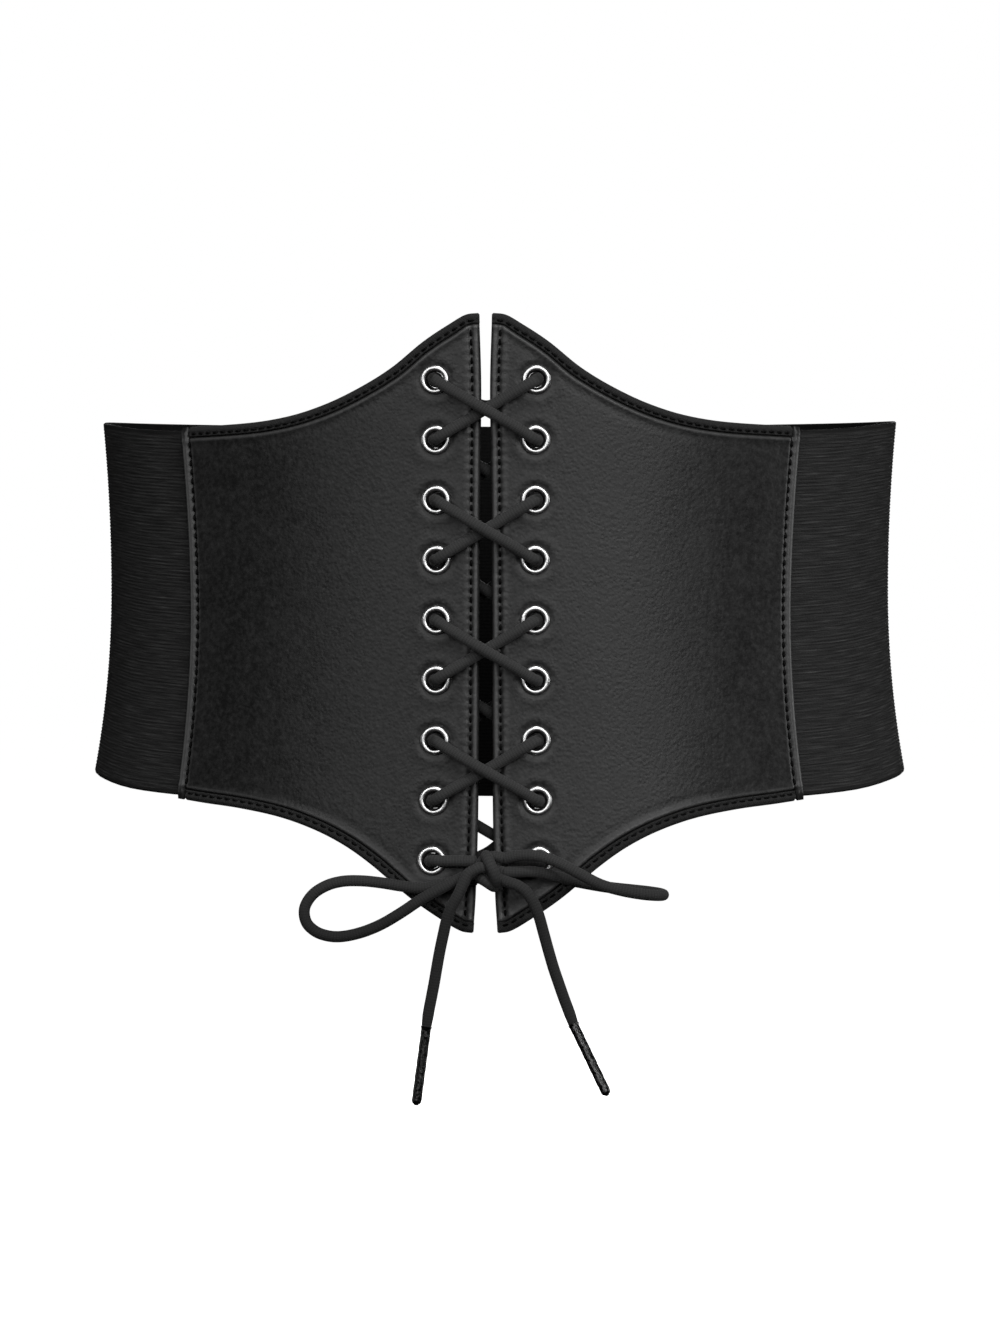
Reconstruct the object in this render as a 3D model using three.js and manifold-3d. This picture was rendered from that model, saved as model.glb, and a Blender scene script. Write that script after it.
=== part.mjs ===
// Corset belt with a laced front: two stiff leather-look front panels that rise and dip to points at
// the middle, nine metal eyelets in each, one round lace through them tied in a bow, and a wide
// elastic band from seam to seam round the back. It is shaped as it sits on a waist.
// Millimetres, +Z up, front towards -Y, origin at the middle of the waist hollow.

import * as THREE from 'three';
import { mergeVertices } from 'three/addons/utils/BufferGeometryUtils.js';
import Module from 'manifold-3d';

const manifold = await Module();
manifold.setup();

// Waist that the belt is shaped to: an oval, narrowest at one level and wider above and below it
const waistHalfWidth = 144.1;
const waistHalfDepth = 98;
const waistLevel = 7;
const ribRise = 63;
const ribFlare = 3.1;
const hipDrop = 66;
const hipFlare = 6.1;
const depthFlareShare = 0.12;

// Front panels
const panelThickness = 2.4;
const panelSeamArc = 113;
const seamTop = 65.8;
const seamBottom = -68.1;
const topPointRise = 38.7;
const bottomPointDrop = 45.5;
const frontGapHalf = 2.2;
const ridgeWidth = 2.7;
const ridgeRise = 0.6;
const looseFit = 0.3;

// Folded strip that binds the top and bottom edges of each panel
const bindingWidth = 3.6;
const bindingThickness = 1;
const tongueThickness = 1;

// Elastic band
const elasticThickness = 1.3;
const elasticGap = 0.5;
const elasticBelowLeather = 1.7;
const elasticTuck = 8;
const elasticSideRise = 5.6;
const elasticBackRise = 7;
const elasticSideLift = 7.7;
const elasticBackDip = 5.9;

// Eyelets
const eyeletRows = 9;
const eyeletTopInset = 16.37;
const eyeletBottomInset = 17.74;
const eyeletArc = 17.2;
const eyeletHoleRadius = 3.25;
const eyeletRimRadius = 4.95;
const eyeletBarrelRadius = 3.85;
const eyeletRimHeight = 1;
const eyeletFlangeThickness = 0.7;
const eyeletSides = 10;

// Lace and bow
const laceRadius = 2;
const laceSides = 8;
const knotRadius = 7.3;
const knotHalfWidth = 4.3;
const knotArc = 1.75;
const knotDrop = 3.4;
const knotClear = 0.65;
const agletRadius = 1.7;
const agletLength = 26.5;
const agletSides = 10;

// Half gap between the panels' front edges, as a share of its size at the waist, by share of the
// way from the waist up (+1) or down (-1) to the points
const gapByHeight = [
  { height: -1, gap: 1.7 },
  { height: -0.88, gap: 1.38 },
  { height: -0.6, gap: 1.08 },
  { height: 0, gap: 1 },
  { height: 0.45, gap: 0.85 },
  { height: 0.75, gap: 0.67 },
  { height: 1, gap: 0.97 },
];

// Seam's distance from the front, as a share of panelSeamArc, by the same heights
const seamByHeight = [
  { height: -0.7, arc: 0.988 },
  { height: 0, arc: 0.996 },
  { height: 0.7, arc: 1.018 },
];

// Top edge of a panel from the front edge (along 0) to the seam (along 1): share of topPointRise
const topEdge = [
  { along: 0, rise: 1 },
  { along: 0.04, rise: 0.985 },
  { along: 0.085, rise: 0.91 },
  { along: 0.17, rise: 0.745 },
  { along: 0.27, rise: 0.51 },
  { along: 0.37, rise: 0.333 },
  { along: 0.48, rise: 0.185 },
  { along: 0.6, rise: 0.08 },
  { along: 0.74, rise: 0.022 },
  { along: 1, rise: -0.008 },
];

// Bottom edge of a panel: share of bottomPointDrop
const bottomEdge = [
  { along: 0, drop: 1 },
  { along: 0.035, drop: 0.985 },
  { along: 0.085, drop: 0.914 },
  { along: 0.19, drop: 0.735 },
  { along: 0.31, drop: 0.49 },
  { along: 0.4, drop: 0.338 },
  { along: 0.5, drop: 0.217 },
  { along: 0.62, drop: 0.12 },
  { along: 0.76, drop: 0.056 },
  { along: 0.9, drop: 0.018 },
  { along: 1, drop: -0.01 },
];

// Elastic band's edges from a seam (around 0) over the side to the middle of the back (around 1):
// shares of how far the top rises by the side and the back, and the bottom lifts and then dips
const elasticEdges = [
  { around: 0, sideShare: 0, backShare: 0, dipShare: 0 },
  { around: 0.1, sideShare: 0.25, backShare: 0, dipShare: 0 },
  { around: 0.2, sideShare: 0.68, backShare: 0, dipShare: 0 },
  { around: 0.31, sideShare: 1, backShare: 0, dipShare: 0 },
  { around: 0.45, sideShare: 0.9, backShare: 0.18, dipShare: 0.1 },
  { around: 0.7, sideShare: 0.35, backShare: 0.7, dipShare: 0.6 },
  { around: 0.88, sideShare: 0.05, backShare: 0.97, dipShare: 0.95 },
  { around: 1, sideShare: 0, backShare: 1, dipShare: 1 },
];

// The bow's loops and the lace's free ends, as chosen points from the knot's centre
const leftLoopRoute = [
  [-5, 4.2, -3.3], [-10.3, 4.3, -3.6], [-17.3, 4.6, -4.9], [-24.7, 4.7, -6.3], [-31.3, 4.8, -5.6],
  [-38.3, 4.9, -4.5], [-45.3, 4.8, -3.8], [-52.3, 4.4, -4], [-57.9, 3.8, -5.6], [-62.6, 3, -8.8],
  [-65.2, 2.2, -13.5], [-64.4, 1.4, -18.3], [-61.1, 0.8, -21.4], [-56.7, 0.5, -22.9],
  [-52.1, 0.4, -23.1], [-45.3, 0.4, -21.7], [-38.3, 0.3, -18.9], [-31.3, 0, -14.8],
  [-23.6, -0.4, -9.7], [-15.6, -0.3, -5.4], [-8.6, -0.1, -1.9], [-5.2, 0, -0.9],
];
const rightLoopRoute = [
  [5.2, -0.6, 4.4], [9.4, -2, 4.6], [14.3, -3.4, 4.6], [19.6, -4.4, 3.9], [26, -5.4, 1.9],
  [32.6, -6.2, -1.2], [38.9, -6.8, -4.3], [45.9, -7.1, -6.3], [52.8, -6.2, -7.6], [58, -3.2, -8.2],
  [60.6, 1.6, -8.3], [58.9, 6.8, -8], [54.2, 10, -7.5], [48, 10.8, -6.9], [41, 10, -6.1],
  [34.5, 7.4, -4.9], [28.3, 4.4, -3.5], [22.2, 1.7, -1.7], [15.5, -0.2, -0.3], [9.5, -0.6, -0.3],
  [5, -0.6, -0.4],
];
const leftEndRoute = [
  [-5.6, -4.6, 0.3], [-7.2, -4.8, -0.7], [-9, -5.1, -4.1], [-10.9, -5.2, -8.3],
  [-13.3, -4.9, -12.7], [-14.9, -4.5, -17], [-16.1, -4.1, -22.1], [-17.4, -3.7, -28.2],
  [-18.4, -3.4, -33.7], [-19.3, -3.2, -38.9], [-20.3, -3, -44.1], [-21.3, -2.9, -49.3],
  [-22.1, -2.8, -54.7],
];
const rightEndRoute = [
  [4.9, -3.8, -3.8], [7.2, -4.5, -4], [9.7, -5.1, -4.7], [12.8, -5.6, -6.8], [15.4, -5.8, -10.5],
  [17.3, -5.8, -15.1], [19, -5.6, -21.2], [20.9, -5.6, -28.1], [22.5, -5.9, -33.5],
  [24.3, -6.4, -38.7], [26.2, -7.2, -44], [28.1, -8.2, -48.9], [29.7, -9.1, -53.2],
];
const leftAgletDirection = new THREE.Vector3(-3.6, 0.3, -27);
const rightAgletDirection = new THREE.Vector3(11.2, -6.5, -22.3);

// Smooth value of one column of a table at a place given by another column
function fromTable(table, key, column, at) {
  const last = table.length - 1;
  const place = Math.min(Math.max(at, table[0][key]), table[last][key]);
  let row = 0;
  while (row < last - 1 && place > table[row + 1][key]) row += 1;
  const before = table[Math.max(row - 1, 0)];
  const low = table[row];
  const high = table[row + 1];
  const after = table[Math.min(row + 2, last)];
  const span = high[key] - low[key];
  const lowSlope = (high[column] - before[column]) / (high[key] - before[key]);
  const highSlope = (after[column] - low[column]) / (after[key] - low[key]);
  const t = (place - low[key]) / span;
  const t2 = t * t;
  const t3 = t2 * t;
  return low[column] * (2 * t3 - 3 * t2 + 1) + high[column] * (3 * t2 - 2 * t3)
    + span * (lowSlope * (t3 - 2 * t2 + t) + highSlope * (t3 - t2));
}

// Distance round the waist from the middle of the front, at even angles up to the back
const arcSteps = 720;
const arcAtAngle = [0];
for (let i = 1; i <= arcSteps; i += 1) {
  const angle = (Math.PI * (i - 0.5)) / arcSteps;
  const reach = Math.hypot(waistHalfWidth * Math.cos(angle), waistHalfDepth * Math.sin(angle));
  arcAtAngle.push(arcAtAngle[i - 1] + (reach * Math.PI) / arcSteps);
}
const halfRound = arcAtAngle[arcSteps];

// Angle round the waist of a distance from the middle of the front; it may pass the back
function angleAtArc(arc) {
  const turns = Math.round(arc / (2 * halfRound));
  const rest = arc - turns * 2 * halfRound;
  const size = Math.abs(rest);
  let low = 0;
  let high = arcSteps;
  while (high - low > 1) {
    const middle = Math.floor((low + high) / 2);
    if (arcAtAngle[middle] > size) high = middle;
    else low = middle;
  }
  const share = (size - arcAtAngle[low]) / (arcAtAngle[high] - arcAtAngle[low]);
  return turns * 2 * Math.PI + (Math.sign(rest) * Math.PI * (low + share)) / arcSteps;
}

// Point of the waist's surface at a distance round it and a height
function surfacePoint(arc, z) {
  const angle = angleAtArc(arc);
  const above = Math.max(z - waistLevel, 0) / ribRise;
  const below = Math.max(waistLevel - z, 0) / hipDrop;
  const flare = ribFlare * above * above + hipFlare * below * below;
  const halfWidth = waistHalfWidth + flare;
  const halfDepth = waistHalfDepth + depthFlareShare * flare;
  return new THREE.Vector3(halfWidth * Math.sin(angle), -halfDepth * Math.cos(angle), z);
}

// Direction straight out of the surface
function surfaceNormal(arc, z) {
  const step = 0.5;
  const across = surfacePoint(arc + step, z).sub(surfacePoint(arc - step, z));
  const up = surfacePoint(arc, z + step).sub(surfacePoint(arc, z - step));
  return across.cross(up).normalize();
}

// Point at a height above the surface; a panel's inner face is at lift 0
function bodyPoint(arc, z, lift) {
  return surfacePoint(arc, z).addScaledVector(surfaceNormal(arc, z), lift);
}

// Closed solid through equal rings of points. A ring runs along one face and back along the other,
// so each end is closed by short faces between its opposite points.
function loftRings(rings) {
  const count = rings[0].length;
  const corners = [];
  for (let r = 0; r < rings.length - 1; r += 1) {
    for (let i = 0; i < count; i += 1) {
      const j = (i + 1) % count;
      corners.push(rings[r][i], rings[r][j], rings[r + 1][j]);
      corners.push(rings[r][i], rings[r + 1][j], rings[r + 1][i]);
    }
  }
  const first = rings[0];
  const last = rings[rings.length - 1];
  for (let i = 0; i < count / 2 - 1; i += 1) {
    const near = count - 1 - i;
    corners.push(first[near], first[i + 1], first[i], first[near], first[near - 1], first[i + 1]);
    corners.push(last[i], last[i + 1], last[near], last[i + 1], last[near - 1], last[near]);
  }
  return outwardGeometry(corners);
}

// Geometry of listed triangle corners, turned inside out if its volume is negative
function outwardGeometry(corners) {
  let volume = 0;
  for (let i = 0; i < corners.length; i += 3) {
    volume += corners[i].dot(corners[i + 1].clone().cross(corners[i + 2]));
  }
  if (volume < 0) corners.reverse();
  const geometry = new THREE.BufferGeometry().setFromPoints(corners);
  return mergeVertices(geometry, 1e-4);
}

function toSolid(geometry) {
  const bare = geometry.clone();
  bare.deleteAttribute('normal');
  bare.deleteAttribute('uv');
  const merged = mergeVertices(bare, 1e-4);
  const mesh = new manifold.Mesh({
    numProp: 3,
    vertProperties: new Float32Array(merged.attributes.position.array),
    triVerts: new Uint32Array(merged.index.array),
  });
  return new manifold.Manifold(mesh);
}

function fromSolid(solid) {
  const mesh = solid.getMesh();
  const geometry = new THREE.BufferGeometry();
  geometry.setAttribute('position', new THREE.BufferAttribute(mesh.vertProperties, 3));
  geometry.setIndex(new THREE.BufferAttribute(mesh.triVerts, 1));
  return geometry;
}

// Upper and lower point levels, and the share of the way to them of a height
const topPoint = seamTop + topPointRise;
const bottomPoint = seamBottom - bottomPointDrop;
const heightShare = (z) => (z > 0 ? z / topPoint : -z / bottomPoint);

// Outline of a panel, by the share of the way from its front edge to its seam
const panelTopAt = (along) => seamTop + topPointRise * fromTable(topEdge, 'along', 'rise', along);
const panelBottomAt = (along) => seamBottom - bottomPointDrop * fromTable(bottomEdge, 'along', 'drop', along);
const frontEdgeArc = (z) => frontGapHalf * fromTable(gapByHeight, 'height', 'gap', heightShare(z));
const seamArc = (z) => panelSeamArc * fromTable(seamByHeight, 'height', 'arc', heightShare(z));
const panelArc = (along, z) => THREE.MathUtils.lerp(frontEdgeArc(z), seamArc(z), along);

// Height of a line that runs inside an edge of the panel at a distance square to it
function insetFrom(edgeAt, along, inward, distance) {
  const step = 0.01;
  const near = Math.max(along - step, 0);
  const far = Math.min(along + step, 1);
  const slope = (edgeAt(far) - edgeAt(near)) / ((far - near) * (panelSeamArc - frontGapHalf));
  return edgeAt(along) + inward * distance * Math.hypot(1, slope);
}

// Where the thinned edge of a panel lies in its thickness, inside the binding
const tongueInner = (panelThickness - looseFit - bindingThickness - tongueThickness) / 2 + 0.15;
const tongueOuter = tongueInner + tongueThickness;
const tongueInset = bindingThickness + looseFit;
const shoulderInset = bindingWidth + looseFit;
const ridgeShare = ridgeWidth / (panelSeamArc - frontGapHalf);
const clearShare = looseFit / (panelSeamArc - frontGapHalf);
const panelColumns = 12;
const panelRows = 7;

// Cross-section of a panel at one place along it, as [height, lift] corners, inside face first
function panelSection(along, isRidge) {
  const top = (distance) => insetFrom(panelTopAt, along, -1, distance);
  const bottom = (distance) => insetFrom(panelBottomAt, along, 1, distance);
  const outer = panelThickness + (isRidge ? ridgeRise : 0);
  const lipInset = isRidge ? 0 : tongueInset;
  const lipInner = isRidge ? 0 : tongueInner;
  const lipOuter = isRidge ? outer : tongueOuter;
  const inside = [[bottom(lipInset), lipInner], [bottom(bindingWidth), lipInner]];
  const outside = [[bottom(lipInset), lipOuter], [bottom(bindingWidth), lipOuter]];
  for (let row = 0; row <= panelRows; row += 1) {
    const z = THREE.MathUtils.lerp(bottom(shoulderInset), top(shoulderInset), row / panelRows);
    inside.push([z, 0]);
    outside.push([z, outer]);
  }
  inside.push([top(bindingWidth), lipInner], [top(lipInset), lipInner]);
  outside.push([top(bindingWidth), lipOuter], [top(lipInset), lipOuter]);
  return [...inside, ...outside.reverse()];
}

function sectionRing(side, along, section) {
  return section.map(([z, lift]) => bodyPoint(side * panelArc(along, z), z, lift));
}

// The eyelets stand evenly between an inset from the panel's top edge and one from its bottom edge
const eyeletAlong = (eyeletArc - frontGapHalf) / (panelSeamArc - frontGapHalf);
const firstEyeletLevel = panelTopAt(eyeletAlong) - eyeletTopInset;
const lastEyeletLevel = panelBottomAt(eyeletAlong) + eyeletBottomInset;
const eyeletLevel = (row) => THREE.MathUtils.lerp(firstEyeletLevel, lastEyeletLevel, row / (eyeletRows - 1));

// Front panel of one side, with a round hole at each eyelet
function panelGeometry(side) {
  const places = [];
  const bodyEnd = 1 - ridgeShare - clearShare;
  for (let i = 0; i <= panelColumns; i += 1) places.push([(bodyEnd * i) / panelColumns, false]);
  places.push([1 - ridgeShare, true], [1, true]);
  const rings = places.map(([along, isRidge]) => sectionRing(side, along, panelSection(along, isRidge)));
  let solid = toSolid(loftRings(rings));
  for (let row = 0; row < eyeletRows; row += 1) {
    const hole = new THREE.CylinderGeometry(
      eyeletBarrelRadius + looseFit, eyeletBarrelRadius + looseFit, 4 * panelThickness, eyeletSides,
    );
    hole.applyMatrix4(eyeletMatrix(side, row));
    solid = solid.subtract(toSolid(hole));
  }
  return fromSolid(solid);
}

// Place and tilt of an eyelet: its own Y axis points out of the panel
function eyeletMatrix(side, row) {
  const normal = surfaceNormal(side * eyeletArc, eyeletLevel(row));
  const turn = new THREE.Quaternion().setFromUnitVectors(new THREE.Vector3(0, 1, 0), normal);
  const place = surfacePoint(side * eyeletArc, eyeletLevel(row));
  return new THREE.Matrix4().compose(place, turn, new THREE.Vector3(1, 1, 1));
}

// Strip folded over an edge of a panel, from the front edge to the seam's ridge
function bindingGeometry(side, edgeAt, inward) {
  const outerLow = tongueOuter + looseFit;
  const outerHigh = outerLow + bindingThickness;
  const innerHigh = tongueInner - looseFit;
  const innerLow = innerHigh - bindingThickness;
  const fold = [
    [bindingWidth, outerHigh], [0, outerHigh], [0, innerLow], [bindingWidth, innerLow],
    [bindingWidth, innerHigh], [bindingThickness, innerHigh],
    [bindingThickness, outerLow], [bindingWidth, outerLow],
  ];
  const rings = [];
  for (let i = 0; i <= panelColumns; i += 1) {
    const along = ((1 - ridgeShare - 3 * clearShare) * i) / panelColumns;
    const section = fold.map(([inset, lift]) => [insetFrom(edgeAt, along, inward, inset), lift]);
    rings.push(sectionRing(side, along, section));
  }
  return loftRings(rings);
}

// Elastic band's top and bottom edge at a distance round the waist from the front, up to the back
function elasticEdgesAt(arc, isTuck) {
  const around = Math.max(arc - panelSeamArc, 0) / (halfRound - panelSeamArc);
  const share = (column) => fromTable(elasticEdges, 'around', column, around);
  const hidden = isTuck ? bindingWidth + looseFit : 0;
  const top = seamTop - elasticBelowLeather + elasticSideRise * share('sideShare')
    + elasticBackRise * share('backShare');
  const bottom = seamBottom + elasticBelowLeather + elasticSideLift * share('sideShare')
    - elasticBackDip * share('dipShare');
  return { top: top - hidden, bottom: bottom + hidden };
}

const elasticColumns = 18;
const elasticRows = 6;
const seamLeanReach = 40;

// Cross-section ring of the elastic band; near a seam it follows the seam's lean
function elasticRing(side, arc, isTuck) {
  const { top, bottom } = elasticEdgesAt(arc, isTuck);
  const lean = Math.max(1 - Math.max(arc - panelSeamArc, 0) / seamLeanReach, 0);
  const place = (z, lift) => bodyPoint(side * (arc + lean * (seamArc(z) - panelSeamArc)), z, lift);
  const outerLift = -elasticGap;
  const innerLift = outerLift - elasticThickness;
  const inside = [];
  const outside = [];
  for (let row = 0; row <= elasticRows; row += 1) {
    const z = THREE.MathUtils.lerp(bottom, top, row / elasticRows);
    inside.push(place(z, innerLift));
    outside.unshift(place(z, outerLift));
  }
  return [...inside, ...outside];
}

// Elastic band from one seam round the back to the other, its ends tucked under the leather
function elasticGeometry() {
  const start = panelSeamArc - ridgeWidth;
  const tuckStart = start - looseFit;
  const half = (side) => {
    const rings = [elasticRing(side, panelSeamArc - elasticTuck, true), elasticRing(side, tuckStart, true)];
    for (let i = 0; i < elasticColumns; i += 1) {
      const arc = THREE.MathUtils.lerp(start, halfRound, i / elasticColumns);
      rings.push(elasticRing(side, arc, false));
    }
    return rings;
  };
  const rings = [...half(1), elasticRing(1, halfRound, false), ...half(-1).reverse()];
  return loftRings(rings);
}

// Eyelet: barrel through the panel, rolled rim outside and thin flange inside
function eyeletGeometry() {
  const seat = panelThickness + looseFit;
  const rimTop = seat + eyeletRimHeight;
  const back = -looseFit;
  const middle = (eyeletHoleRadius + eyeletRimRadius) / 2;
  const profile = [
    [eyeletHoleRadius, back - eyeletFlangeThickness],
    [eyeletRimRadius, back - eyeletFlangeThickness],
    [eyeletRimRadius, back],
    [eyeletBarrelRadius, back],
    [eyeletBarrelRadius, seat],
    [eyeletRimRadius, seat],
    [middle, rimTop],
    [eyeletHoleRadius, rimTop - 0.55 * eyeletRimHeight],
  ];
  const points = profile.map(([radius, height]) => new THREE.Vector2(radius, height));
  points.push(points[0].clone());
  return new THREE.LatheGeometry(points, eyeletSides);
}

// Curve whose sections fall on its own chosen points
class RoutedCurve extends THREE.CatmullRomCurve3 {
  getUtoTmapping(u) {
    return u;
  }
}

// Round cord along chosen points
function cordGeometry(points, stepsPerSpan) {
  const corners = [];
  for (let i = 0; i < laceSides; i += 1) {
    const angle = (2 * Math.PI * (i + 0.5)) / laceSides;
    corners.push(new THREE.Vector2(laceRadius * Math.cos(angle), laceRadius * Math.sin(angle)));
  }
  return new THREE.ExtrudeGeometry(new THREE.Shape(corners), {
    steps: (points.length - 1) * stepsPerSpan,
    extrudePath: new RoutedCurve(points, false, 'centripetal'),
  });
}

// Lifts of the lace: beside an eyelet, and where two strands cross
const eyeletHeight = panelThickness + 2 * looseFit + eyeletRimHeight + eyeletFlangeThickness;
const turnCentreLift = eyeletHeight / 2 - looseFit - eyeletFlangeThickness;
const laceTurnRadius = eyeletHeight / 2 + 2 * looseFit + laceRadius;
const outsideLift = turnCentreLift + laceTurnRadius;
const insideLift = turnCentreLift - laceTurnRadius;
const strandPitch = 2 * laceRadius + looseFit;
const outsideUnder = panelThickness + laceRadius + 3 * looseFit;
const outsideOver = outsideUnder + strandPitch;
const insideNear = -laceRadius - 3 * looseFit;
const insideFar = insideNear - strandPitch;
const barDroop = 9.5;
const barFlatness = 1.5;
const lastCrossingSag = 7.9;
const turnCentreRadius = (eyeletHoleRadius + eyeletRimRadius) / 2;

// The knot lies on the panels' front edges, just below the last eyelets
const knotCentre = bodyPoint(knotArc, lastEyeletLevel - knotDrop, panelThickness + knotClear + knotRadius);

// Way of the lace from the knot's left side through every eyelet to its right side. The strand on
// each side of an eyelet is outside or inside the panels by turns.
function lacingStops() {
  const stops = [];
  for (let row = eyeletRows - 1; row >= 0; row -= 1) {
    stops.push({ side: row % 2 === 0 ? -1 : 1, row });
  }
  for (let row = 0; row < eyeletRows; row += 1) {
    stops.push({ side: row % 2 === 0 ? 1 : -1, row });
  }
  return stops.map(({ side, row }) => ({ arc: side * eyeletArc, z: eyeletLevel(row), row }));
}

// Half turn of the lace round an eyelet's inner side, from one strand to the other
function eyeletTurn(stop, outsideAim, insideAim, startsOutside) {
  const towards = (aim) => new THREE.Vector2(aim.arc - stop.arc, aim.z - stop.z).normalize();
  const outsideWay = towards(outsideAim);
  const insideWay = towards(insideAim);
  const turn = [90, 54, 18, -18, -54, -90].map((degrees) => {
    const angle = THREE.MathUtils.degToRad(degrees);
    const way = insideWay.clone().lerp(outsideWay, (1 + Math.sin(angle)) / 2).normalize();
    const reach = turnCentreRadius - laceTurnRadius * Math.cos(angle);
    const lift = turnCentreLift + laceTurnRadius * Math.sin(angle);
    return bodyPoint(stop.arc + way.x * reach, stop.z + way.y * reach, lift);
  });
  return startsOutside ? turn : turn.reverse();
}

// Points between two eyelets, with the strand's lift at the crossing and how far it sags there
function strandPoints(from, to, edgeLift, crossingLift, sag) {
  return [0.3, 0.5, 0.7].map((share) => {
    const nearness = 1 - (Math.abs(share - 0.5) / 0.4) ** 2;
    const arc = THREE.MathUtils.lerp(from.arc, to.arc, share);
    const z = THREE.MathUtils.lerp(from.z, to.z, share) - sag * nearness;
    return bodyPoint(arc, z, THREE.MathUtils.lerp(edgeLift, crossingLift, nearness));
  });
}

function lacingPoints() {
  const stops = lacingStops();
  const level = stops[0].z;
  const leftOfKnot = { arc: knotCentre.x - knotHalfWidth - looseFit - 0.2, z: level };
  const rightOfKnot = { arc: knotCentre.x + knotHalfWidth + looseFit + 0.2, z: level };
  const middle = eyeletRows - 0.5;
  const barLow = { arc: 0, z: eyeletLevel(0) - barDroop };
  const points = [bodyPoint(leftOfKnot.arc, leftOfKnot.z, outsideLift)];
  stops.forEach((stop, i) => {
    const startsOutside = i % 2 === 0;
    const previous = i === 0 ? leftOfKnot : stops[i - 1];
    const next = i === stops.length - 1 ? rightOfKnot : stops[i + 1];
    const isBar = i === eyeletRows - 1;
    const afterBar = i === eyeletRows;
    const outsideAim = startsOutside ? previous : next;
    let insideAim = startsOutside ? next : previous;
    if (isBar || afterBar) insideAim = barLow;
    points.push(...eyeletTurn(stop, outsideAim, insideAim, startsOutside));
    if (i === stops.length - 1) return;
    const firstHalf = i < middle - 1;
    if (isBar) {
      const share = 0.45;
      const low = bodyPoint(0, barLow.z + barFlatness, insideLift);
      const beside = (edge) => bodyPoint(edge.arc * share, THREE.MathUtils.lerp(barLow.z, edge.z, share), insideLift);
      points.push(beside(stop), low, beside(next));
    } else if (startsOutside) {
      const sag = i === 0 ? lastCrossingSag : 0;
      points.push(...strandPoints(stop, next, insideLift, firstHalf ? insideFar : insideNear, sag));
    } else {
      points.push(...strandPoints(stop, next, outsideLift, firstHalf ? outsideOver : outsideUnder, 0));
    }
  });
  points.push(bodyPoint(rightOfKnot.arc, rightOfKnot.z, outsideLift));
  return points;
}

// Bow's knot: a drum of wound lace, fullest where the lace wraps it
function knotGeometry() {
  const profile = [
    [0, -knotHalfWidth], [0.78 * knotRadius, -knotHalfWidth], [0.9 * knotRadius, -0.75 * knotHalfWidth],
    [knotRadius, -0.3 * knotHalfWidth], [knotRadius, 0.3 * knotHalfWidth],
    [0.9 * knotRadius, 0.75 * knotHalfWidth], [0.78 * knotRadius, knotHalfWidth], [0, knotHalfWidth],
  ];
  return new THREE.LatheGeometry(profile.map(([radius, x]) => new THREE.Vector2(radius, x)), 16);
}

// Stiff round sleeve on the end of the lace, closed to a rounded tip
function agletGeometry() {
  const profile = [
    [0, 0], [agletRadius, 0], [agletRadius, 0.86 * agletLength], [0.8 * agletRadius, 0.96 * agletLength],
    [0.4 * agletRadius, agletLength], [0, agletLength],
  ];
  return new THREE.LatheGeometry(profile.map(([radius, y]) => new THREE.Vector2(radius, y)), agletSides);
}

const leather = new THREE.MeshStandardMaterial({ color: 0x3a3a3c, roughness: 0.55, metalness: 0 });
const webbing = new THREE.MeshStandardMaterial({ color: 0x222224, roughness: 0.9, metalness: 0 });
const bindingCloth = new THREE.MeshStandardMaterial({ color: 0x1b1b1d, roughness: 0.95, metalness: 0 });
const silver = new THREE.MeshStandardMaterial({ color: 0xd6d6d8, roughness: 0.2, metalness: 1 });
const laceCotton = new THREE.MeshStandardMaterial({ color: 0x26262a, roughness: 0.9, metalness: 0 });
const film = new THREE.MeshStandardMaterial({ color: 0x0c0c0e, roughness: 0.25, metalness: 0 });

const belt = new THREE.Group();

function addPiece(name, geometry, material) {
  const mesh = new THREE.Mesh(geometry, material);
  mesh.name = name;
  belt.add(mesh);
  return mesh;
}

const sides = [{ name: 'left', sign: -1 }, { name: 'right', sign: 1 }];

for (const { name, sign } of sides) {
  addPiece(`${name}_front_panel`, panelGeometry(sign), leather);
  addPiece(`${name}_top_binding`, bindingGeometry(sign, panelTopAt, -1), bindingCloth);
  addPiece(`${name}_bottom_binding`, bindingGeometry(sign, panelBottomAt, 1), bindingCloth);
  for (let row = 0; row < eyeletRows; row += 1) {
    const eyelet = addPiece(`${name}_eyelet_${row + 1}`, eyeletGeometry(), silver);
    eyelet.applyMatrix4(eyeletMatrix(sign, row));
  }
}

addPiece('elastic_band', elasticGeometry(), webbing);
addPiece('lacing', cordGeometry(lacingPoints(), 1), laceCotton);

const knot = addPiece('bow_knot', knotGeometry(), laceCotton);
knot.position.copy(knotCentre);
knot.rotation.z = -Math.PI / 2;

const toVectors = (route) => route.map(([x, y, z]) => new THREE.Vector3(x, y, z).add(knotCentre));
addPiece('bow_loop_left', cordGeometry(toVectors(leftLoopRoute), 1), laceCotton);
addPiece('bow_loop_right', cordGeometry(toVectors(rightLoopRoute), 1), laceCotton);
addPiece('lace_end_left', cordGeometry(toVectors(leftEndRoute), 1), laceCotton);
addPiece('lace_end_right', cordGeometry(toVectors(rightEndRoute), 1), laceCotton);

function addAglet(name, route, direction) {
  const way = direction.clone().normalize();
  const aglet = addPiece(name, agletGeometry(), film);
  const [endPoint] = toVectors(route).slice(-1);
  aglet.position.copy(endPoint.addScaledVector(way, 2 * looseFit));
  aglet.quaternion.setFromUnitVectors(new THREE.Vector3(0, 1, 0), way);
}

addAglet('aglet_left', leftEndRoute, leftAgletDirection);
addAglet('aglet_right', rightEndRoute, rightAgletDirection);

export default belt;
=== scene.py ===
import math

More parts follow.
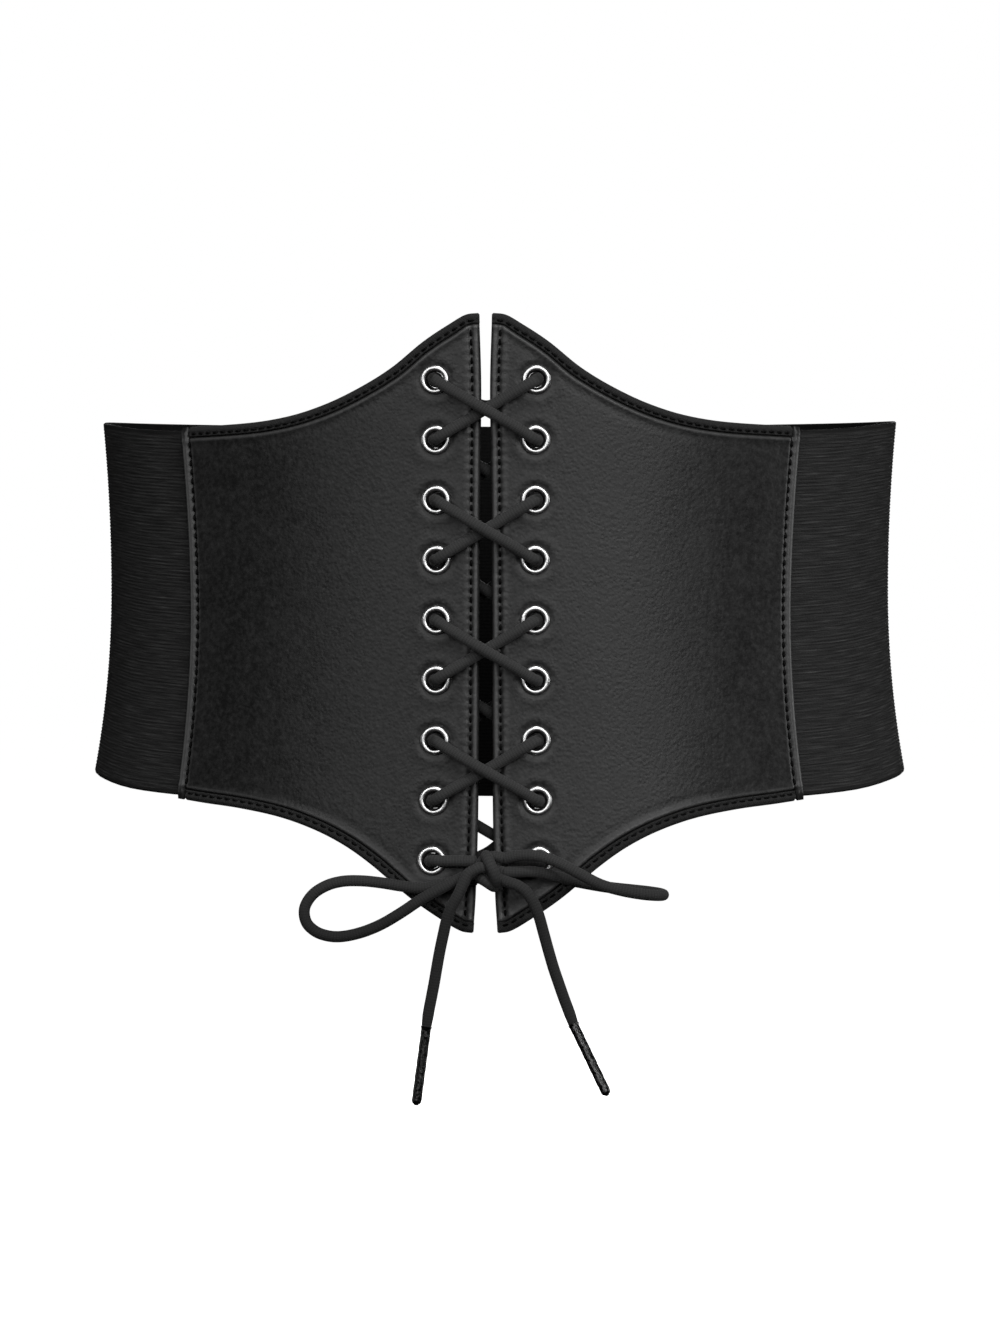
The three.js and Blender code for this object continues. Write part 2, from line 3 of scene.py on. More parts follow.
import bmesh
import bpy
import numpy as np
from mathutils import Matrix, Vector


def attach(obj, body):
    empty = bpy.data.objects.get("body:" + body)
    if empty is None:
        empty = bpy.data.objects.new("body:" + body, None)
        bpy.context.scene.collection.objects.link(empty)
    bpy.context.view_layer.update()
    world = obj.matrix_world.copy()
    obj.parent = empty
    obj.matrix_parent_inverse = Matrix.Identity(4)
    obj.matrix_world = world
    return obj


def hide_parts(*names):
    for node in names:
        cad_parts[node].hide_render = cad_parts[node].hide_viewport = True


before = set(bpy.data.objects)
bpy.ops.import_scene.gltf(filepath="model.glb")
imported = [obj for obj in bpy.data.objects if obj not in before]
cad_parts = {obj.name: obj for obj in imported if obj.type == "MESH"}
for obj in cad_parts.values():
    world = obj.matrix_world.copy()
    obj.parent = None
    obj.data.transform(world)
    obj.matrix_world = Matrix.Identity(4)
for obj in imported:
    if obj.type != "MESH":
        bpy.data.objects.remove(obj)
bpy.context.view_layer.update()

# Camera. The photograph was taken level, two metres from the middle of the belt and a little to the
# right of straight on. The belt's middle stands a little above the middle of the picture.
photo_width = 1000
photo_height = 1333
photo_distance = 2.0
photo_azimuth = math.radians(2.7)
metres_per_pixel = 0.00037
belt_middle_column = 499
belt_middle_row = 610

bpy.ops.object.select_all(action="DESELECT")
bpy.ops.object.camera_add(
    location=(photo_distance * math.sin(photo_azimuth), -photo_distance * math.cos(photo_azimuth), 0),
    rotation=(math.pi / 2, 0, photo_azimuth),
)
camera = bpy.context.object
camera.name = "photo_camera"
camera.data.sensor_width = 36
camera.data.lens = 36 * photo_distance / (metres_per_pixel * photo_height)
camera.data.shift_x = (photo_width / 2 - belt_middle_column) / photo_height
camera.data.shift_y = -(photo_height / 2 - belt_middle_row) / photo_height
camera.data.clip_start = 0.05
camera.data.clip_end = 60
bpy.context.scene.camera = camera

# Front panels. Each is synthetic leather over a stiff core, cut flat, punched for nine eyelets and
# formed round the waist. The front edge is folded and topstitched, and the side seam is folded back
# into a ridge and stitched down over the elastic. Lengths here and below are millimetres.
mm = 0.001
waist_half_width = 144.1
waist_half_depth = 98
waist_level = 7
rib_rise = 63
rib_flare = 3.1
hip_drop = 66
hip_flare = 6.1
depth_flare_share = 0.12
panel_thickness = 2.4
panel_seam_arc = 113
front_gap_half = 2.2
panel_width = panel_seam_arc - front_gap_half
seam_top = 65.8
seam_bottom = -68.1
top_point_rise = 38.7
bottom_point_drop = 45.5
ridge_width = 2.7
ridge_rise = 0.6
binding_width = 3.6
tongue_inset = 1.3
tongue_outer = 1.2
tongue_inner = 0.2
loose_fit = 0.3
stitch_pitch = 3.2
front_stitch_inset = 2.9
seam_stitch_inset = 3.45
eyelet_rows = 9
eyelet_arc = 17.2
eyelet_top_inset = 16.37
eyelet_bottom_inset = 17.74
eyelet_hole = 4.15
gap_by_height = [(-1, 1.7), (-0.88, 1.38), (-0.6, 1.08), (0, 1), (0.45, 0.85), (0.75, 0.67), (1, 0.97)]
seam_by_height = [(-0.7, 0.988), (0, 0.996), (0.7, 1.018)]
top_edge_rise = [
    (0, 1), (0.04, 0.985), (0.085, 0.91), (0.17, 0.745), (0.27, 0.51), (0.37, 0.333),
    (0.48, 0.185), (0.6, 0.08), (0.74, 0.022), (1, -0.008),
]
bottom_edge_drop = [
    (0, 1), (0.035, 0.985), (0.085, 0.914), (0.19, 0.735), (0.31, 0.49), (0.4, 0.338),
    (0.5, 0.217), (0.62, 0.12), (0.76, 0.056), (0.9, 0.018), (1, -0.01),
]


def from_table(table, at):
    """Smooth value of a table of (place, value) rows at one or more places."""
    keys, values = np.array(table, dtype=float).T
    place = np.clip(at, keys[0], keys[-1])
    row = np.clip(np.searchsorted(keys, place) - 1, 0, len(keys) - 2)
    before = np.maximum(row - 1, 0)
    after = np.minimum(row + 2, len(keys) - 1)
    span = keys[row + 1] - keys[row]
    low_slope = (values[row + 1] - values[before]) / (keys[row + 1] - keys[before])
    high_slope = (values[after] - values[row]) / (keys[after] - keys[row])
    t = (place - keys[row]) / span
    low = values[row] * (2 * t**3 - 3 * t**2 + 1) + span * low_slope * (t**3 - 2 * t**2 + t)
    high = values[row + 1] * (3 * t**2 - 2 * t**3) + span * high_slope * (t**3 - t**2)
    return low + high


turn_steps = (np.arange(720) + 0.5) * math.pi / 720
step_lengths = np.hypot(waist_half_width * np.cos(turn_steps), waist_half_depth * np.sin(turn_steps))
arc_at_turn = np.concatenate([[0], np.cumsum(step_lengths * math.pi / 720)])
half_round = arc_at_turn[-1]


def waist_point(arc, z):
    """Point of the waist at a distance round it from the middle of the front, and a height."""
    turns = np.round(arc / (2 * half_round))
    rest = arc - turns * 2 * half_round
    angle = np.sign(rest) * np.interp(np.abs(rest), arc_at_turn, np.linspace(0, math.pi, 721))
    above = np.maximum(z - waist_level, 0) / rib_rise
    below = np.maximum(waist_level - z, 0) / hip_drop
    flare = rib_flare * above**2 + hip_flare * below**2
    across = (waist_half_width + flare) * np.sin(angle)
    forward = (waist_half_depth + depth_flare_share * flare) * np.cos(angle)
    return np.stack([across, -forward, z + 0 * across], axis=-1)


def waist_normal(arc, z):
    """Direction straight out of the waist."""
    across = waist_point(arc + 0.5, z) - waist_point(arc - 0.5, z)
    up = waist_point(arc, z + 0.5) - waist_point(arc, z - 0.5)
    out = np.cross(across, up)
    return out / np.linalg.norm(out, axis=-1, keepdims=True)


def on_waist(arc, z, lift):
    """Point at a height above the waist; a panel's inner face is at lift 0."""
    arc, z, lift = np.broadcast_arrays(np.asarray(arc, dtype=float), z, lift)
    return waist_point(arc, z) + waist_normal(arc, z) * lift[..., None]


top_point = seam_top + top_point_rise
bottom_point = seam_bottom - bottom_point_drop


def height_share(z):
    return np.where(z > 0, z / top_point, -z / bottom_point)


def panel_top(along):
    return seam_top + top_point_rise * from_table(top_edge_rise, along)


def panel_bottom(along):
    return seam_bottom - bottom_point_drop * from_table(bottom_edge_drop, along)


def front_edge_arc(z):
    return front_gap_half * from_table(gap_by_height, height_share(z))


def seam_arc(z):
    return panel_seam_arc * from_table(seam_by_height, height_share(z))


def panel_arc(along, z):
    return front_edge_arc(z) * (1 - along) + seam_arc(z) * along


def edge_slant(edge, along):
    """How much longer a height is than the distance square to the edge."""
    near = np.maximum(along - 0.01, 0)
    far = np.minimum(along + 0.01, 1)
    return np.hypot(1, (edge(far) - edge(near)) / ((far - near) * panel_width))


def smooth_step(value, low, high):
    t = np.clip((value - low) / (high - low), 0, 1)
    return t * t * (3 - 2 * t)


def bump(value, middle, width):
    return np.exp(-(((value - middle) / width) ** 2))


def read_points(piece):
    points = np.empty(3 * len(piece.data.vertices))
    piece.data.vertices.foreach_get("co", points)
    return points.reshape(-1, 3)


def write_points(piece, points):
    piece.data.vertices.foreach_set("co", np.ascontiguousarray(points, dtype=float).ravel())
    piece.data.update()


def write_uvs(piece, places):
    """Lays the UV map by a flat place of each vertex."""
    corners = np.empty(len(piece.data.loops), dtype=int)
    piece.data.loops.foreach_get("vertex_index", corners)
    layer = piece.data.uv_layers.active or piece.data.uv_layers.new(name="cut")
    layer.data.foreach_set("uv", np.ascontiguousarray(places[corners], dtype=float).ravel())


def write_attribute(piece, name, values):
    layer = piece.data.attributes.new(name, "FLOAT", "POINT")
    layer.data.foreach_set("value", np.ascontiguousarray(values, dtype=float))


def flat_grid(name, columns, rows):
    """Flat grid primitive of the given cells, with each vertex's column and row number."""
    bpy.ops.object.select_all(action="DESELECT")
    bpy.ops.mesh.primitive_grid_add(x_subdivisions=columns, y_subdivisions=rows, size=1)
    piece = bpy.context.object
    piece.name = name
    points = read_points(piece)
    column = np.rint((points[:, 0] + 0.5) * columns).astype(int)
    row = np.rint((points[:, 1] + 0.5) * rows).astype(int)
    return piece, column, row


def apply_modifier(piece, kind, **settings):
    modifier = piece.modifiers.new(kind.title(), kind)
    for setting, value in settings.items():
        setattr(modifier, setting, value)
    bpy.context.view_layer.objects.active = piece
    bpy.ops.object.modifier_apply(modifier=modifier.name)


def turn_outward(piece):
    """Flips a closed mesh whose faces point inwards."""
    points = read_points(piece)
    piece.data.calc_loop_triangles()
    corners = np.empty(3 * len(piece.data.loop_triangles), dtype=int)
    piece.data.loop_triangles.foreach_get("vertices", corners)
    a, b, c = points[corners.reshape(-1, 3)].transpose(1, 0, 2)
    if np.einsum("ij,ij->i", a, np.cross(b, c)).sum() < 0:
        piece.data.flip_normals()


def finish_piece(piece, materials, slot, *nodes, smooth_angle=50):
    """Shades a piece, gives it its materials and hangs it on the frame in place of its CAD nodes."""
    turn_outward(piece)
    bpy.ops.object.select_all(action="DESELECT")
    piece.select_set(True)
    bpy.context.view_layer.objects.active = piece
    bpy.ops.object.shade_smooth_by_angle(angle=math.radians(smooth_angle))
    piece.data.materials.clear()
    for material in materials:
        piece.data.materials.append(material)
    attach(piece, "root")
    if nodes:
        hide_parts(*nodes)


class Wire:
    """Output of a shader node. Sums and products of wires add Math nodes."""

    def __init__(self, socket):
        self.socket = socket

    def node(self, kind, settings, sockets, output=0):
        """Adds a node, sets it and then its sockets, and gives one of its outputs."""
        made = self.socket.id_data.nodes.new(kind)
        for setting, value in settings.items():
            if setting == "stops":
                made.color_ramp.elements[1].position = 1
                for place, grey in value[1:-1]:
                    made.color_ramp.elements.new(place)
                for element, (place, grey) in zip(made.color_ramp.elements, value):
                    element.position = place
                    element.color = (grey, grey, grey, 1)
            else:
                setattr(made, setting, value)
        for name, value in sockets.items():
            feed(made.inputs[name], value)
        return Wire(made.outputs[output])

    def math(self, operation, *values):
        return self.node("ShaderNodeMath", {"operation": operation}, dict(enumerate(values)))

    def __add__(self, other):
        return self.math("ADD", self, other)

    def __radd__(self, other):
        return self.math("ADD", other, self)

    def __sub__(self, other):
        return self.math("SUBTRACT", self, other)

    def __rsub__(self, other):
        return self.math("SUBTRACT", other, self)

    def __mul__(self, other):
        return self.math("MULTIPLY", self, other)

    def __rmul__(self, other):
        return self.math("MULTIPLY", other, self)

    def __truediv__(self, other):
        return self.math("DIVIDE", self, other)

    def __rtruediv__(self, other):
        return self.math("DIVIDE", other, self)


def feed(socket, value):
    """Links a wire to a socket, or sets the socket to a number or colour."""
    if isinstance(value, Wire):
        socket.id_data.links.new(value.socket, socket)
    else:
        socket.default_value = value


def new_finish(name, **constants):
    """New material: its shader with set sockets, its coordinates on the object and its UV map."""
    material = bpy.data.materials.new(name)
    material.use_nodes = True
    nodes = material.node_tree.nodes
    shader = nodes["Principled BSDF"]
    for socket, value in constants.items():
        shader.inputs[socket.replace("_", " ")].default_value = value
    coordinates = nodes.new("ShaderNodeTexCoord")
    return material, shader, Wire(coordinates.outputs["Object"]), Wire(coordinates.outputs["UV"])


def noise(place, scale, detail=2, roughness=0.5):
    sockets = {"Vector": place, "Scale": scale, "Detail": detail, "Roughness": roughness}
    return place.node("ShaderNodeTexNoise", {}, sockets, "Fac")


def raised(height, distance, strength=1.0):
    """Normal of a surface raised by a height from 0 to 1 times a distance in metres."""
    return height.node(
        "ShaderNodeBump", {}, {"Height": height, "Distance": distance, "Strength": strength}, "Normal"
    )


# Soft black synthetic leather: a fine pebbled grain, a broad dull sheen, and painted highlight: paler
# colour along its folds, seam ridge and creases
leather, shader, place, uv = new_finish("synthetic_leather", Specular_IOR_Level=0.5)
rub = place.node("ShaderNodeAttribute", {"attribute_name": "rub"}, {}, "Fac")
pebbles = place.node(
    "ShaderNodeTexVoronoi", {"feature": "SMOOTH_F1"}, {"Vector": place, "Scale": 900}, "Distance"
)
grain = noise(place, 520, 3, 0.65)
patches = noise(place, 70, 4, 0.6)
speck_stops = [(0.4, 0), (0.6, 0.4), (0.8, 1)]
specks = grain.node("ShaderNodeValToRGB", {"stops": speck_stops}, {"Fac": grain}, "Color")
# Painted highlight: the colour is made paler along the panels' folds, seam ridge and creases
feed(shader.inputs["Base Color"], 0.001 + 0.014 * patches + 0.026 * specks + 0.085 * rub)
feed(shader.inputs["Roughness"], 0.27 + 0.2 * grain + 0.14 * patches - 0.04 * rub)
feed(shader.inputs["Normal"], raised(0.8 * pebbles + 0.6 * grain, 0.00009))

# Cloth backing glued to the leather's inner side: a plain grey-black knit
backing, shader, place, uv = new_finish("cloth_backing", Specular_IOR_Level=0.2)
knit = place.node("ShaderNodeTexVoronoi", {}, {"Vector": place, "Scale": 1300}, "Distance")
feed(shader.inputs["Base Color"], 0.008 + 0.012 * knit)
shader.inputs["Roughness"].default_value = 0.9
feed(shader.inputs["Normal"], raised(knit, 0.0002))

eyelet_along = (eyelet_arc - front_gap_half) / panel_width
first_eyelet_level = panel_top(eyelet_along) - eyelet_top_inset
last_eyelet_level = panel_bottom(eyelet_along) + eyelet_bottom_inset
eyelet_levels = np.linspace(first_eyelet_level, last_eyelet_level, eyelet_rows)


def eyelet_place(level):
    """Distance of an eyelet from the front edge, on the flat panel."""
    front = front_edge_arc(level)
    return (eyelet_arc - front) / (seam_arc(level) - front) * panel_width


def panel_columns():
    """Distances from the front edge at which the panel's mesh has a column."""
    fold = [0, 0.12, 0.35, 0.65, 1.0, 1.4]
    near = np.arange(1.85, 8, 0.45)
    eyelets = np.arange(8.3, 26, 0.75)
    middle = np.linspace(26.5, panel_width - 8.2, 68)
    seam = np.arange(panel_width - 7.6, panel_width - 1.6, 0.4)
    end = panel_width - np.array(fold[::-1])
    return np.concatenate([fold, near, eyelets, middle, seam, end])


def panel_rows(u):
    """Heights of the panel's rows in one column, thick near the bound edges."""
    along = u / panel_width
    is_ridge = u > panel_width - ridge_width - 0.2
    rim = 0.0 if is_ridge else tongue_inset
    steps = np.array([rim, 2.0, 2.9, 3.4, 3.7, 3.95, 4.2, 4.5, 4.9, 5.5, 6.3, 7.3, 8.6])
    low = panel_bottom(along) + steps * edge_slant(panel_bottom, along)
    high = panel_top(along) - steps[::-1] * edge_slant(panel_top, along)
    middle = np.linspace(low[-1], high[0], 228)[1:-1]
    return np.concatenate([low, middle, high])


def panel_relief(u, z, edge_gap):
    """Height of the leather's outer face above its plain level."""
    thread = np.cos(2 * math.pi * z / stitch_pitch)
    relief = -bump(u, front_stitch_inset, 0.75) * (0.45 + 0.2 * thread)
    relief += 0.1 * bump(u, 1.5, 0.8) + bump(u, 4.6, 1.1) * (0.13 - 0.05 * thread)
    from_seam = panel_width - u
    relief += ridge_rise * smooth_step(-from_seam, -ridge_width - 0.2, -ridge_width + 0.5)
    relief -= bump(from_seam, seam_stitch_inset, 0.55) * (0.46 + 0.18 * thread)
    relief += bump(from_seam, 5.2, 1.2) * (0.12 - 0.05 * thread)
    relief += 0.2 * bump(edge_gap, 4.9, 0.7) - 0.1 * bump(edge_gap, 7.2, 1.2)
    for level in eyelet_levels:
        gap = np.hypot(u - eyelet_place(level), z - level)
        relief += 0.08 * bump(gap, 7.6, 1.6) - 0.42 * bump(gap, 4.7, 1.1)
    waves = np.sin(u / 7.3 + 1.2 * np.sin(z / 23)) * np.sin(z / 16 + 0.9 * np.sin(u / 19))
    swells = np.sin(u / 17 + z / 31 + 1) * np.cos(z / 24 - u / 43)
    ripple = 0.035 * waves + 0.12 * swells
    return relief + ripple * smooth_step(u, 4, 16) * smooth_step(from_seam, 4, 16)


def front_panel(name, sign, node):
    """Cuts a panel flat, punches it, gives it its thickness and forms it round the waist."""
    columns = panel_columns()
    heights = np.array([panel_rows(u) for u in columns])
    panel, column, row = flat_grid(name, len(columns) - 1, heights.shape[1] - 1)
    flat = np.stack([columns[column], heights[column, row], 0 * column], axis=-1)
    write_points(panel, flat)
    write_uvs(panel, flat[:, :2] / 100)
    centres = [Vector((float(eyelet_place(level)), float(level), 0)) for level in eyelet_levels]
    mesh = bmesh.new()
    mesh.from_mesh(panel.data)
    for centre in centres:
        punched = [f for f in mesh.faces if (f.calc_center_median() - centre).length < eyelet_hole]
        bmesh.ops.delete(mesh, geom=punched, context="FACES")
        rim = [v for v in mesh.verts if v.is_boundary and (v.co - centre).length < eyelet_hole + 2]
        for vertex in rim:
            vertex.co = centre + (vertex.co - centre).normalized() * eyelet_hole
    mesh.to_mesh(panel.data)
    mesh.free()
    apply_modifier(panel, "SOLIDIFY", thickness=panel_thickness, offset=1)
    u, z, height = read_points(panel).T
    is_outer = height > panel_thickness / 2
    along = u / panel_width
    top_gap = (panel_top(along) - z) / edge_slant(panel_top, along)
    bottom_gap = (z - panel_bottom(along)) / edge_slant(panel_bottom, along)
    edge_gap = np.minimum(top_gap, bottom_gap)
    is_ridge = u > panel_width - ridge_width - 0.2
    shoulder = np.where(is_ridge, 1, smooth_step(edge_gap, 3.6, 4.4))
    outer = panel_thickness + panel_relief(u, z, edge_gap)
    outer = tongue_outer + (outer - tongue_outer) * shoulder
    inner = tongue_inner * (1 - np.where(is_ridge, 1, smooth_step(edge_gap, 3.65, 4.3)))
    middle = np.where(u > panel_width / 2, 1.3, 1.15)
    fold = np.minimum(np.minimum(u, panel_width - u) / 1.3, 1)
    end_fold = np.where(is_ridge, np.clip(edge_gap / 1.2, 0, 1), 1)
    roundness = np.sqrt(1 - (1 - fold) ** 2 * 0.995) * np.sqrt(1 - (1 - end_fold) ** 2 * 0.99)
    lift = middle + (np.where(is_outer, outer, inner) - middle) * roundness
    write_points(panel, on_waist(sign * panel_arc(along, z), z, lift) * mm)
    from_seam = panel_width - u
    # Painted highlight along the front fold, the crease by the front stitching, the seam ridge and the
    # crease beside each binding
    fold_highlight_lines = 0.75 * bump(u, 1.3, 0.8) + 0.25 * bump(u, 4.7, 0.9)
    fold_highlight_lines += bump(from_seam, 1.5, 1.0) * smooth_step(edge_gap, 2, 6)
    fold_highlight_lines += 0.7 * bump(edge_gap, 4.6, 0.5) * (from_seam > 4)
    write_attribute(panel, "rub", np.clip(fold_highlight_lines, 0, 1) * is_outer)
    finish_piece(panel, [leather, backing], "faux_leather", node)
    for face in panel.data.polygons:
        face.material_index = int(not any(is_outer[v] for v in face.vertices))


front_panel("leather_panel_left", -1, "left_front_panel")
front_panel("leather_panel_right", 1, "right_front_panel")

# Edge bindings. A flat strip of matt black cloth is folded over the top and the bottom edge of each
# panel and topstitched through, three millimetres in from the fold.
binding_stitch_inset = 2.55
fold_radius = 1.3
leg_length = binding_width - 1.8
strip_length = 2 * leg_length + math.pi * fold_radius
binding_end = panel_width - ridge_width - 3 * loose_fit

cloth, shader, place, uv = new_finish("binding_cloth", Specular_IOR_Level=0.15, Sheen_Weight=0.05)
weave = uv.node("ShaderNodeTexChecker", {}, {"Vector": uv, "Scale": 260}, "Fac")
lint = noise(place, 1400, 3, 0.7)
feed(shader.inputs["Base Color"], 0.01 + 0.012 * weave + 0.036 * lint)
shader.inputs["Roughness"].default_value = 0.95
feed(shader.inputs["Normal"], raised(weave + 2 * lint, 0.00016))


def edge_length(edge, u):
    """Length of an edge from the front to each distance u."""
    fine = np.linspace(0, panel_width, 600)
    middle = (fine[1:] + fine[:-1]) / 2
    pieces = edge_slant(edge, middle / panel_width) * np.diff(fine)
    return np.interp(u, fine, np.concatenate([[0], np.cumsum(pieces)]))


def edge_binding(name, sign, edge, inward, node):
    """Folds a flat strip over one edge of a panel."""
    strip, column, row = flat_grid(name, 250, 26)
    flat = np.stack([column / 250 * binding_end, row / 26 * strip_length, 0 * column], axis=-1)
    write_points(strip, flat)
    write_uvs(strip, np.stack([edge_length(edge, flat[:, 0]), flat[:, 1]], axis=-1) / 100)
    apply_modifier(strip, "SOLIDIFY", thickness=1, offset=0)
    u, run, height = read_points(strip).T
    ends = np.minimum(run, strip_length - run)
    height = height * np.sqrt(1 - (1 - np.clip(ends / 0.5, 0, 1)) ** 2 * 0.98)
    height = height * np.sqrt(1 - (1 - np.clip(np.minimum(u, binding_end - u) / 0.4, 0, 1)) ** 2 * 0.98)
    around = np.clip((run - leg_length) / fold_radius, 0, math.pi)
    past = np.maximum(run - leg_length - math.pi * fold_radius, 0)
    inset = 1.8 + np.maximum(leg_length - run, 0) + past - (fold_radius + height) * np.sin(around)
    lift = 0.7 + (fold_radius + height) * np.cos(around)
    thread = np.cos(2 * math.pi * edge_length(edge, u) / stitch_pitch)
    is_outer = around < math.pi / 2
    lift -= np.where(is_outer, 1, -1) * bump(inset, binding_stitch_inset, 0.6) * (0.34 + 0.24 * thread)
    lift += np.where(is_outer & (height > 0), 0.12, 0) * bump(inset, 1.5, 0.9)
    z = edge(u / panel_width) + inward * inset * edge_slant(edge, u / panel_width)
    write_points(strip, on_waist(sign * panel_arc(u / panel_width, z), z, lift) * mm)
    finish_piece(strip, [cloth], "edge_binding", node)


for side, sign in (("left", -1), ("right", 1)):
    edge_binding(f"cloth_binding_top_{side}", sign, panel_top, -1, f"{side}_top_binding")
    edge_binding(f"cloth_binding_bottom_{side}", sign, panel_bottom, 1, f"{side}_bottom_binding")

# Elastic band. One wide strip of black ribbed elastic, its rubber threads running round the body, sewn
# under the ridge of each panel and stretched round the sides and the back.
elastic_thickness = 1.3
elastic_gap = 0.5
elastic_below_leather = 1.7
elastic_tuck = 8
elastic_side_rise = 5.6
elastic_back_rise = 7
elastic_side_lift = 7.7
elastic_back_dip = 5.9
seam_lean_reach = 40
side_shares = [
    (0, 0), (0.1, 0.25), (0.2, 0.68), (0.31, 1), (0.45, 0.9), (0.7, 0.35), (0.88, 0.05), (1, 0),
]
back_shares = [(0, 0), (0.1, 0), (0.2, 0), (0.31, 0), (0.45, 0.18), (0.7, 0.7), (0.88, 0.97), (1, 1)]
dip_shares = [(0, 0), (0.1, 0), (0.2, 0), (0.31, 0), (0.45, 0.1), (0.7, 0.6), (0.88, 0.95), (1, 1)]

webbing, shader, place, uv = new_finish("ribbed_elastic", Specular_IOR_Level=0.3)
along_threads = uv.node("ShaderNodeMapping", {}, {"Vector": uv, "Scale": (7, 190, 1)}, "Vector")
streaks = noise(along_threads, 1, 3, 0.6)
streak_stops = [(0.42, 0), (0.6, 0.35), (0.74, 1)]
bright_streaks = streaks.node("ShaderNodeValToRGB", {"stops": streak_stops}, {"Fac": streaks}, "Color")
across_threads = uv.node("ShaderNodeMapping", {}, {"Vector": uv, "Scale": (110, 170, 1)}, "Vector")
crimps = noise(across_threads, 1, 2, 0.5)
# Painted shade: the colour darkens along the band's top and bottom edges
from_middle = uv.math("ABSOLUTE", uv.node("ShaderNodeSeparateXYZ", {}, {"Vector": uv}, "Y") - 0.675)
edge_shade_range = {"From Min": 0.664, "From Max": 0.656, "To Min": 0.3, "To Max": 1.0}
painted_edge_shade = uv.node("ShaderNodeMapRange", {}, {"Value": from_middle, **edge_shade_range}, "Result")
feed(shader.inputs["Base Color"], painted_edge_shade * (0.008 + 0.064 * bright_streaks + 0.014 * crimps))
shader.inputs["Roughness"].default_value = 0.8
feed(shader.inputs["Normal"], raised(crimps + streaks, 0.0002))


# The band's inner side, brushed so that it lies soft on the wearer and duller; its colour is darker, as
# painted shade for the shadow inside the belt
elastic_back_painted_shade, shader, place, uv = new_finish("brushed_elastic_back_painted_shade", Specular_IOR_Level=0.1)
nap = noise(place, 900, 3, 0.7)
# Painted shade: the inner side's colour is much darker than the outer side's
feed(shader.inputs["Base Color"], 0.002 + 0.008 * nap)
shader.inputs["Roughness"].default_value = 1.0
feed(shader.inputs["Normal"], raised(nap, 0.0003))


def elastic_edges(arc):
    """Top and bottom edge of the elastic at a distance round the waist from the front."""
    around = np.maximum(arc - panel_seam_arc, 0) / (half_round - panel_seam_arc)
    hidden = np.where(arc < panel_seam_arc - ridge_width - 0.1, binding_width + loose_fit, 0)
    top = seam_top - elastic_below_leather + elastic_side_rise * from_table(side_shares, around)
    top = top + elastic_back_rise * from_table(back_shares, around) - hidden
    bottom = seam_bottom + elastic_below_leather + elastic_side_lift * from_table(side_shares, around)
    return top, bottom - elastic_back_dip * from_table(dip_shares, around) + hidden


tuck_start = panel_seam_arc - elastic_tuck
band_start = panel_seam_arc - ridge_width
half_columns = np.concatenate([
    [tuck_start, tuck_start + 2.5, band_start - 0.3, band_start],
    np.linspace(band_start, half_round, 38)[1:],
])
band_columns = np.concatenate([half_columns, 2 * half_round - half_columns[-2::-1]])
rib_rows = 4 * 105
band, column, row = flat_grid("elastic_webbing_band", len(band_columns) - 1, rib_rows)
flat = np.stack([band_columns[column], row / rib_rows, 0 * column], axis=-1)
write_points(band, flat)
write_uvs(band, np.stack([flat[:, 0], flat[:, 1] * 135], axis=-1) / 100)
apply_modifier(band, "SOLIDIFY", thickness=elastic_thickness, offset=1)
arc, share, height = read_points(band).T
from_front = half_round - np.abs(arc - half_round)
top, bottom = elastic_edges(from_front)
z = bottom + (top - bottom) * share
lean = np.clip(1 - np.maximum(from_front - panel_seam_arc, 0) / seam_lean_reach, 0, 1)
arc = arc + np.where(arc < half_round, 1, -1) * lean * (seam_arc(z) - panel_seam_arc)
rim_gap = np.minimum(share, 1 - share) * (top - bottom)
roundness = np.sqrt(1 - (1 - np.clip(rim_gap / 0.65, 0, 1)) ** 2 * 0.98)
lift = (height - elastic_thickness / 2) * roundness
ribs = np.cos(2 * math.pi * share * rib_rows / 4) * smooth_step(rim_gap, 1.5, 3)
lift += np.where(height > 0.5, 0.11, -0.11) * ribs - elastic_gap - elastic_thickness / 2
write_points(band, on_waist(arc, z, lift) * mm)
finish_piece(band, [webbing, elastic_back_painted_shade], "elastic_webbing", "elastic_band", smooth_angle=80)
is_inner = height < 0.5
for face in band.data.polygons:
    face.material_index = int(all(is_inner[v] for v in face.vertices))

# Stitching. Black thread sewn through by machine, a stitch every three millimetres: along the front
# edge and the side seam of each panel and along its two bindings, the same outside and inside.
thread_radius = 0.42
stitch_length = 2.3

thread, shader, place, uv = new_finish("sewing_thread", Specular_IOR_Level=0.12)
twist = noise(place, 3000, 1)
feed(shader.inputs["Base Color"], 0.001 + 0.002 * twist)
shader.inputs["Roughness"].default_value = 0.6
feed(shader.inputs["Normal"], raised(twist, 0.0001))


def one_stitch():
    """Short thread whose two ends dive into the cloth, as points and faces."""
    bpy.ops.object.select_all(action="DESELECT")
    bpy.ops.mesh.primitive_cylinder_add(vertices=6, radius=thread_radius, depth=stitch_length)
    stitch = bpy.context.object
    mesh = bmesh.new()
    mesh.from_mesh(stitch.data)
    sides = [e for e in mesh.edges if abs(e.verts[0].co.z - e.verts[1].co.z) > 1]
    bmesh.ops.subdivide_edges(mesh, edges=sides, cuts=4)
    mesh.to_mesh(stitch.data)
    mesh.free()
    points = read_points(stitch)
    faces = [list(face.vertices) for face in stitch.data.polygons]
    bpy.data.objects.remove(stitch)
    share = points[:, 2] / (stitch_length / 2)
    slim = 1 - 0.35 * share**4
    rise = points[:, 1] * slim - 0.45 * share**4 + 0.1
    return np.stack([points[:, 2], points[:, 0] * slim, rise], axis=-1), faces


stitch_points, stitch_faces = one_stitch()


